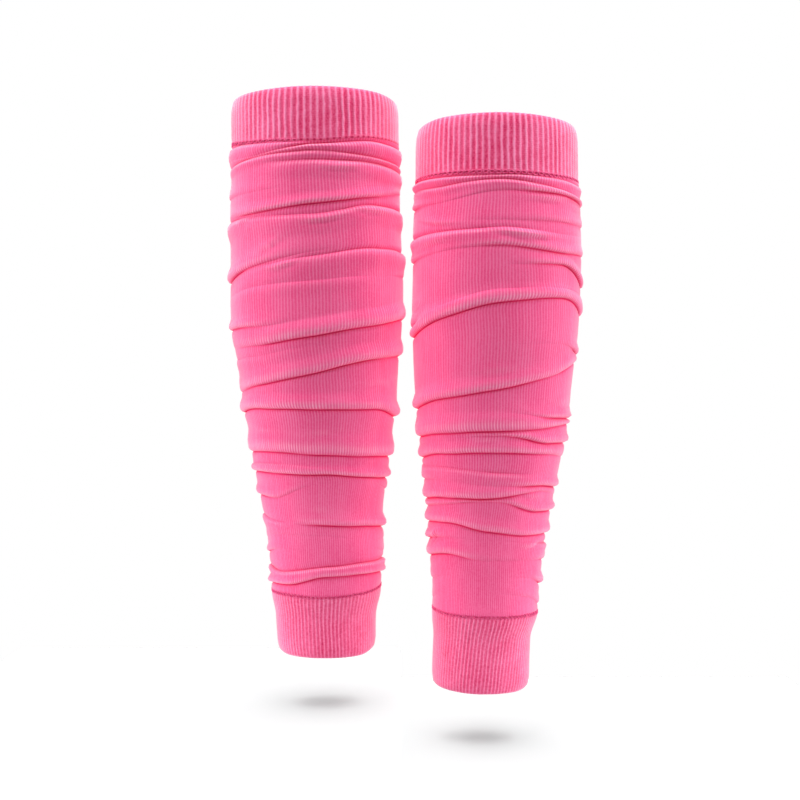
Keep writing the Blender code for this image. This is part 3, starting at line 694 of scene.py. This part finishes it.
def knit_material(name, deep, mid, pale, highlight_pink, crease_shade_pink):
    """Fine plain nylon knit. Its wales are upright columns of stitches, with painted sheen on their
    tops and painted shade between, under a short bloom of fibre that lightens the cloth where it
    turns away. Painted highlights lie on the rolls' shoulders and painted shade in the creases."""
    material, tree = new_material(name)
    place, uneven, fuzz = knit_ground(tree, TUBE_PATCHES)
    # 168 wales round, 2.1 mm apart
    wale = add_node(tree, "ShaderNodeMath", place, float(NEEDLES), operation="MULTIPLY")
    wander = add_node(tree, "ShaderNodeMath", uneven, 0.9, wale, operation="MULTIPLY_ADD")
    turn = add_node(tree, "ShaderNodeMath", wander, 2.0 * math.pi, operation="MULTIPLY")
    wave = add_node(tree, "ShaderNodeMath", turn, operation="COSINE")
    half = add_node(tree, "ShaderNodeMath", wave, 0.5, 0.5, operation="MULTIPLY_ADD")
    sharp = add_node(tree, "ShaderNodeMath", half, 2.2, operation="POWER")
    number = add_node(tree, "ShaderNodeMath", wander, operation="ROUND")
    chance = add_node(tree, "ShaderNodeTexWhiteNoise", {"W": number}, noise_dimensions="1D")
    depth = add_node(tree, "ShaderNodeMath", chance, 0.45, 0.55, operation="MULTIPLY_ADD")
    line = add_node(tree, "ShaderNodeMath", sharp, depth, operation="MULTIPLY")
    # the two legs of each stitch lean together
    leg = add_node(tree, "ShaderNodeMath", wander, 0.5, operation="PINGPONG")
    rising = add_node(tree, "ShaderNodeMath", place.outputs[1], 1.0 / (TUBE_COURSE * MM), leg,
                      operation="MULTIPLY_ADD")
    step = add_node(tree, "ShaderNodeMath", rising, 2.0 * math.pi, operation="MULTIPLY")
    stitch = add_node(tree, "ShaderNodeMath", step, operation="SINE")
    tone = add_node(tree, "ShaderNodeMath", uneven, 0.6, 0.31, operation="MULTIPLY_ADD")
    # the wales' tops painted pale as sheen, the gaps between painted deeper as shade
    wales = add_node(tree, "ShaderNodeMath", line, -0.8, tone, operation="MULTIPLY_ADD")
    threads = add_node(tree, "ShaderNodeMath", fuzz, 0.8, -0.4, operation="MULTIPLY_ADD")
    shade = add_node(tree, "ShaderNodeMath", wales, threads, operation="ADD")
    ramp = add_node(tree, "ShaderNodeValToRGB", shade)
    dye(ramp, ((0.0, pale), (0.45, mid), (1.0, deep)))
    # painted highlight on the shoulders of the rolls, laid mostly on the wales
    crest = add_node(tree, "ShaderNodeAttribute", attribute_name="crest")
    on_wales = add_node(tree, "ShaderNodeMath", line, 0.95, 0.25, operation="MULTIPLY_ADD")
    patchy = add_node(tree, "ShaderNodeMath", uneven, on_wales, operation="MULTIPLY")
    highlit = add_node(tree, "ShaderNodeMath", crest.outputs["Fac"], patchy, operation="MULTIPLY")
    lighter = add_node(tree, "ShaderNodeMix", {"Factor": highlit, 6: ramp, 7: linear(highlight_pink)},
                       data_type="RGBA")
    # painted shade: creases and seam grooves mixed towards a deep pink, with less bloom there
    crease = add_node(tree, "ShaderNodeAttribute", attribute_name="crease")
    colour = add_node(tree, "ShaderNodeMix",
                      {"Factor": crease.outputs["Fac"], 6: lighter.outputs[2],
                       7: linear(crease_shade_pink)}, data_type="RGBA")
    bloom = add_node(tree, "ShaderNodeMath", crease.outputs["Fac"], -0.85, 0.85,
                     operation="MULTIPLY_ADD")
    legs = add_node(tree, "ShaderNodeMath", stitch, 0.16, fuzz, operation="MULTIPLY_ADD")
    lift = add_node(tree, "ShaderNodeMath", line, 0.9, legs, operation="MULTIPLY_ADD")
    bump = add_node(tree, "ShaderNodeBump",
                    {"Height": lift, "Strength": 0.4, "Distance": 0.17 * MM})
    shader = add_node(tree, "ShaderNodeBsdfPrincipled",
                      {"Base Color": colour.outputs[2], "Normal": bump, "Roughness": 0.9,
                       "IOR": 1.45, "Specular IOR Level": 0.2, "Sheen Weight": bloom,
                       "Sheen Roughness": 0.42, "Sheen Tint": linear("#FFE6F0")})
    add_node(tree, "ShaderNodeOutputMaterial", shader)
    return material


FINE_KNIT = knit_material("fine_nylon_knit", "#E03672", "#EA558B", "#ED719E",
                          "#FFB6D2", "#DB165B")


def add_tube(node, form, folds, wrinkles, seams, phase):
    """The folded tube from its upper eyelet course to its lower one."""
    angle = 360.0 * np.arange(TUBE_COLUMNS) / TUBE_COLUMNS - 180.0
    top = around(seams[0], angle) - SEAM_GAP
    bottom = around(seams[1], angle) + SEAM_GAP
    creases, rises = folds_round(folds, angle, top)
    rolls = rolls_round(folds, creases, rises)

    height = fold_rows(top, creases, bottom)
    out, drop, skew, deep, crest = fold_relief(angle, height, creases, rises, rolls, SLIT)
    crumple, crumple_highlight = wrinkle_relief(wrinkles, angle, height)
    crest = np.maximum(crest, crumple_highlight)
    out = out + crumple + TUBE_SLACK * slack(angle, height, phase)
    near = np.minimum(top - height, height - bottom)
    # painted shade of deep pink in the groove at each seam
    deep = np.maximum(deep, SEAM_SHADE * np.exp(-((near / SEAM_SHADE_WIDTH) ** 2)))
    out = out * smooth(near / 1.2) - SEAM_TUCK * (1.0 - quarter(near / SEAM_ROUND))
    dropped = height - drop * smooth(near / 2.5)
    shifted = angle + np.degrees(skew * smooth(near / 6.0) / MEAN_RADIUS)
    outside = on_leg(form, shifted, dropped, out)

    share = (np.arange(LINING_ROWS) / (LINING_ROWS - 1))[:, None]
    height = bottom + (top - bottom) * share
    lining = fold_relief(angle, height, creases, rises, rolls, 0.0)
    inside = on_leg(form, angle, height, LINING_FOLDS * lining[0] - TUBE_WALL)
    points = np.concatenate([outside, inside])
    plain = np.zeros(inside.shape[:2])
    # the first value carries the painted shade of creases and seams, the second the rolls' painted
    # highlight
    tube = new_shell(node + "_knit", points, length_along(points),
                     {"crease": np.concatenate([deep, plain]),
                      "crest": np.concatenate([crest, plain])})
    tube.data.materials.append(FINE_KNIT)
    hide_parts(node)
    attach(tube, "root")
    return tube


left_calf_tube = add_tube("left_calf_tube", LEFT_FORM, LEFT_FOLDS, LEFT_WRINKLES,
                          (KNEE_SEAM["left"], ANKLE_SEAM["left"]), 1.1)
right_calf_tube = add_tube("right_calf_tube", RIGHT_FORM, RIGHT_FOLDS, RIGHT_WRINKLES,
                           (KNEE_SEAM["right"], ANKLE_SEAM["right"]), 4.2)


# Ankle cuffs. The same doubled rib knit, drawn in to the leg above the ankle, so that its ribs lie
# closer together. The right one has slipped round a little, and its ribs lean.

ANKLE_EDGE = {
    "left": (-172.8, -174.4, -174.8, -174.4, -171.4, -174),
    "right": (-195.4, -197.1, -198.4, -198.5, -197, -197.6),
}
ANKLE_SPREAD = 0.65     # how far the stretch opens the ribs, beside the knee cuffs
ANKLE_LEAN = 0.12       # degrees round for each millimetre of height

left_ankle_cuff = add_cuff("left_ankle_cuff", LEFT_FORM, ANKLE_SEAM["left"], ANKLE_EDGE["left"],
                           0.0, ANKLE_SPREAD, 5.1)
right_ankle_cuff = add_cuff("right_ankle_cuff", RIGHT_FORM, ANKLE_SEAM["right"],
                            ANKLE_EDGE["right"], ANKLE_LEAN, ANKLE_SPREAD, 3.3)


# Eyelet courses. Where a cuff is linked to its tube, one loop of twisted yarn stands open at each
# rib, and the loops bridge the narrow groove between the two knits.

EYELETS = 84
EYELET_HEIGHT = 2.0
EYELET_SHARE = 0.78     # width of a loop as a share of the space between two loops
EYELET_TILT = 0.25      # radians that a loop may lean to either side
EYELET_RISE = 0.25      # how far a loop stands out from the bottom of its groove
YARN = 0.42             # radius of the yarn
YARN_PATCHES = 400.0    # darker places in the yarn to a metre, each 2.5 mm long
COVERED = (-12.0, 140.0)    # angles between which the left tube's first fold lies over its eyelets


def eyelet_tree():
    """One upright loop of yarn at each point of a seam, turned to face away from the leg."""
    tree, given = new_tree("eyelet_course", {
        "Loop width": "Float", "Loop height": "Float", "Yarn radius": "Float", "Tilt": "Float",
        "Seed": "Int"})
    ring = add_node(tree, "GeometryNodeCurvePrimitiveCircle", {"Resolution": 10, "Radius": 0.5})
    size = add_node(tree, "ShaderNodeCombineXYZ", given.outputs["Loop width"],
                    given.outputs["Loop height"], 1.0)
    oval = add_node(tree, "GeometryNodeTransform", {"Geometry": ring, "Scale": size})
    upright = add_node(tree, "GeometryNodeTransform",
                       {"Geometry": oval, "Rotation": (math.pi / 2.0, 0.0, 0.0)})
    thread = add_node(tree, "GeometryNodeCurvePrimitiveCircle",
                      {"Resolution": 5, "Radius": given.outputs["Yarn radius"]})
    loop = add_node(tree, "GeometryNodeCurveToMesh", {"Curve": upright, "Profile Curve": thread})
    outward = add_node(tree, "GeometryNodeInputNamedAttribute", "outward", data_type="FLOAT_VECTOR")
    facing = add_node(tree, "FunctionNodeAlignRotationToVector", {"Vector": outward}, axis="Y")
    chance = add_node(tree, "FunctionNodeRandomValue",
                      {2: -1.0, 3: 1.0, "Seed": given.outputs["Seed"]}, data_type="FLOAT")
    lean = add_node(tree, "ShaderNodeMath", chance.outputs[1], given.outputs["Tilt"],
                    operation="MULTIPLY")
    roll = add_node(tree, "ShaderNodeCombineXYZ", 0.0, lean, 0.0)
    turned = add_node(tree, "FunctionNodeEulerToRotation", roll)
    both = add_node(tree, "FunctionNodeRotateRotation", facing, turned, rotation_space="LOCAL")
    points = add_node(tree, "GeometryNodeMeshToPoints", given.outputs["Geometry"])
    placed = add_node(tree, "GeometryNodeInstanceOnPoints",
                      {"Points": points, "Instance": loop, "Rotation": both})
    whole = add_node(tree, "GeometryNodeRealizeInstances", placed)
    soft = add_node(tree, "GeometryNodeSetShadeSmooth", whole)
    clad = add_node(tree, "GeometryNodeSetMaterial",
                    {"Geometry": soft, "Material": given.outputs["Knit"]})
    add_node(tree, "NodeGroupOutput", clad)
    return tree


def yarn_material(name, deep, pale):
    """Single nylon yarn, twisted of many fine fibres, that looks soft and a little uneven."""
    material, tree = new_material(name)
    thread = add_node(tree, "ShaderNodeTexCoord")
    uneven = add_node(tree, "ShaderNodeTexNoise",
                      {"Vector": thread.outputs["Object"], "Scale": YARN_PATCHES, "Detail": 2.0,
                       "Roughness": 0.6})
    ramp = add_node(tree, "ShaderNodeValToRGB", uneven)
    dye(ramp, ((0.3, deep), (0.7, pale)))
    bump = add_node(tree, "ShaderNodeBump",
                    {"Height": uneven, "Strength": 0.4, "Distance": 0.1 * MM})
    shader = add_node(tree, "ShaderNodeBsdfPrincipled",
                      {"Base Color": ramp, "Normal": bump, "Roughness": 0.9, "IOR": 1.45,
                       "Specular IOR Level": 0.25, "Sheen Weight": 0.3, "Sheen Roughness": 0.4,
                       "Sheen Tint": linear("#FFC4DB")})
    add_node(tree, "ShaderNodeOutputMaterial", shader)
    return material


# the yarn is painted a deeper pink than the knit, as shade for the dark open eyelets
NYLON_YARN = yarn_material("twisted_nylon_yarn", "#C62F68", "#E2608F")
EYELET_TREE = eyelet_tree()


def add_eyelets(name, form, seam, seed, covered=(0.0, 0.0)):
    """A course of loops along a seam. Between the two angles in `covered` it lies sunk under the
    tube's first fold."""
    angle = 360.0 * (np.arange(EYELETS) + 0.5) / EYELETS - 180.0
    height = around(seam, angle)
    sunk = smooth((angle - covered[0]) / 8.0) * smooth((covered[1] - angle) / 8.0)
    points = on_leg(form, angle, height, -SEAM_TUCK + EYELET_RISE - sunk) * MM
    after = np.roll(points, -1, axis=0)
    before = np.roll(points, 1, axis=0)
    along = after - before
    outward = np.stack([along[:, 1], -along[:, 0], np.zeros(EYELETS)], axis=-1)
    mesh = bpy.data.meshes.new(name)
    mesh.from_pydata(points.tolist(), [], [])
    layer = mesh.attributes.new("outward", "FLOAT_VECTOR", "POINT")
    layer.data.foreach_set("vector", outward.astype(np.float32).ravel())
    obj = put(name, mesh)
    space = float(np.mean(np.linalg.norm(after - points, axis=-1)))
    grown(obj, EYELET_TREE, {"Loop width": EYELET_SHARE * space, "Loop height": EYELET_HEIGHT * MM,
                             "Yarn radius": YARN * MM, "Tilt": EYELET_TILT, "Seed": seed,
                             "Knit": NYLON_YARN})
    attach(obj, "root")


add_eyelets("left_knee_eyelets", LEFT_FORM, KNEE_SEAM["left"], 3,
            covered=COVERED)
add_eyelets("right_knee_eyelets", RIGHT_FORM, KNEE_SEAM["right"], 5)
add_eyelets("left_ankle_eyelets", LEFT_FORM, ANKLE_SEAM["left"], 7)
add_eyelets("right_ankle_eyelets", RIGHT_FORM, ANKLE_SEAM["right"], 9)


# Floor. Two sheets of paper, one a few centimetres under each hanging sleeve, that take only its
# soft shadow. The paper is a matt mid grey, so that under strong light it looks a plain white.

Sheet = namedtuple("Sheet", "name left right level")
SHEETS = [Sheet("left_floor", -310.0, -3.0, -209.0), Sheet("right_floor", -3.0, 310.0, -232.5)]
FLOOR_FRONT = -260.0
FLOOR_BACK = 215.0

GREY_PAPER, paper_tree = new_material("matt_grey_paper")
paper = add_node(paper_tree, "ShaderNodeBsdfPrincipled",
                 {"Base Color": linear("#6C6D6D"), "Roughness": 1.0, "Specular IOR Level": 0.0})
add_node(paper_tree, "ShaderNodeOutputMaterial", paper)
floors = []
for sheet in SHEETS:
    corners = [(x * MM, y * MM, sheet.level * MM)
               for x, y in ((sheet.left, FLOOR_FRONT), (sheet.right, FLOOR_FRONT),
                            (sheet.right, FLOOR_BACK), (sheet.left, FLOOR_BACK))]
    mesh = bpy.data.meshes.new(sheet.name)
    mesh.from_pydata(corners, [], [(0, 1, 2, 3)])
    mesh.materials.append(GREY_PAPER)
    floor = put(sheet.name, mesh)
    floor.visible_shadow = False    # the upper sheet's edge keeps no light off the lower one
    floors.append(floor)


# Light. A white tent, brightest behind, with a softbox at either side and one above that draws out
# the folds. Each sleeve is lit as if it stood alone. Each floor sheet has a lamp that only its own
# sleeve shades, and a fill that nothing shades.

LIT = {name: bpy.data.collections.new(name)
       for name in ("left", "right", "sleeves", "left_floor", "right_floor")}
for obj in bpy.context.scene.objects:
    side = obj.name.split("_")[0]
    if obj in floors:
        LIT[obj.name].objects.link(obj)
    elif side in ("left", "right") and not obj.hide_render:
        LIT[side].objects.link(obj)
        LIT["sleeves"].objects.link(obj)

# Places and sizes are in metres, and power is in watts
Lamp = namedtuple("Lamp", "name place width height power lights shaded_by")
LAMPS = [
    Lamp("left_softbox_on_left", (-1.15, -0.22, 0.05), 0.9, 1.3, 15.0, "left", "left"),
    Lamp("right_softbox_on_left", (1.15, -0.22, 0.05), 0.9, 1.3, 11.2, "left", "left"),
    Lamp("left_softbox_on_right", (-1.15, -0.22, 0.05), 0.9, 1.3, 12.3, "right", "right"),
    Lamp("right_softbox_on_right", (1.15, -0.22, 0.05), 0.9, 1.3, 14.2, "right", "right"),
    Lamp("top_softbox", (0.0, -0.2, 1.2), 0.6, 0.6, 15.5, "sleeves", "sleeves"),
    Lamp("left_floor_softbox", (0.0, 0.0, 1.2), 1.8, 2.8, 172.0, "left_floor", "left"),
    Lamp("right_floor_softbox", (0.0, 0.0, 1.2), 1.8, 2.8, 172.0, "right_floor", "right"),
    Lamp("left_floor_fill", (0.0, 0.0, 1.2), 2.4, 2.4, 92.0, "left_floor", "left_floor"),
    Lamp("right_floor_fill", (0.0, 0.0, 1.2), 2.4, 2.4, 94.0, "right_floor", "right_floor"),
]
for lamp in LAMPS:
    data = bpy.data.lights.new(lamp.name, "AREA")
    data.shape = "RECTANGLE"
    data.size = lamp.width
    data.size_y = lamp.height
    data.energy = lamp.power
    data.cycles.use_multiple_importance_sampling = False    # only what should shade it does
    holder = put(lamp.name, data)
    place = Vector(lamp.place)
    holder.location = place
    holder.rotation_euler = (-place).to_track_quat("-Z", "Y").to_euler()
    holder.light_linking.receiver_collection = LIT[lamp.lights]
    holder.light_linking.blocker_collection = LIT[lamp.shaded_by]

TENT_FRONT = 0.22
TENT_BACK = 0.85
TENT_ABOVE = 0.35
TENT_BELOW = -0.25

world = bpy.data.worlds.new("white_tent")
bpy.context.scene.world = world
world.use_nodes = True
sky = world.node_tree
sky.nodes.clear()
direction = add_node(sky, "ShaderNodeTexCoord")
parts = add_node(sky, "ShaderNodeSeparateXYZ", direction.outputs["Generated"])
depth = add_node(sky, "ShaderNodeMapRange", parts.outputs[1], -1.0, 1.0, TENT_FRONT, TENT_BACK)
rise = add_node(sky, "ShaderNodeMapRange", parts.outputs[2], -0.6, 0.6, TENT_BELOW, TENT_ABOVE)
both = add_node(sky, "ShaderNodeMath", depth, rise, operation="ADD", use_clamp=True)
shown = add_node(sky, "ShaderNodeLightPath")
strength = add_node(sky, "ShaderNodeMath", shown.outputs["Is Camera Ray"], both,
                    operation="MAXIMUM")
tent = add_node(sky, "ShaderNodeBackground", (1.0, 1.0, 1.0, 1.0), strength)
add_node(sky, "ShaderNodeOutputWorld", tent)


# Camera. Level with the middle of the sleeves, about a metre in front of them, as in the photo. One
# pixel is 0.67 mm at the sleeves, and the lens axis is 10 pixels above the middle of the picture.

PICTURE = 800
PIXEL = 0.67
EYE_ROW = 390
MIDDLE_COLUMN = 405
CAMERA_DISTANCE = 1024.0
SENSOR = 36.0

camera_data = bpy.data.cameras.new("camera")
camera_data.sensor_width = SENSOR
camera_data.lens = SENSOR * CAMERA_DISTANCE / (PICTURE * PIXEL)
camera_data.shift_y = (EYE_ROW - PICTURE / 2) / PICTURE
camera = put("camera", camera_data)
camera.location = ((PICTURE / 2 - MIDDLE_COLUMN) * PIXEL * MM, -CAMERA_DISTANCE * MM, 0.0)
camera.rotation_euler = (math.pi / 2.0, 0.0, 0.0)
bpy.context.scene.camera = camera
bpy.context.scene.view_settings.view_transform = "Standard"
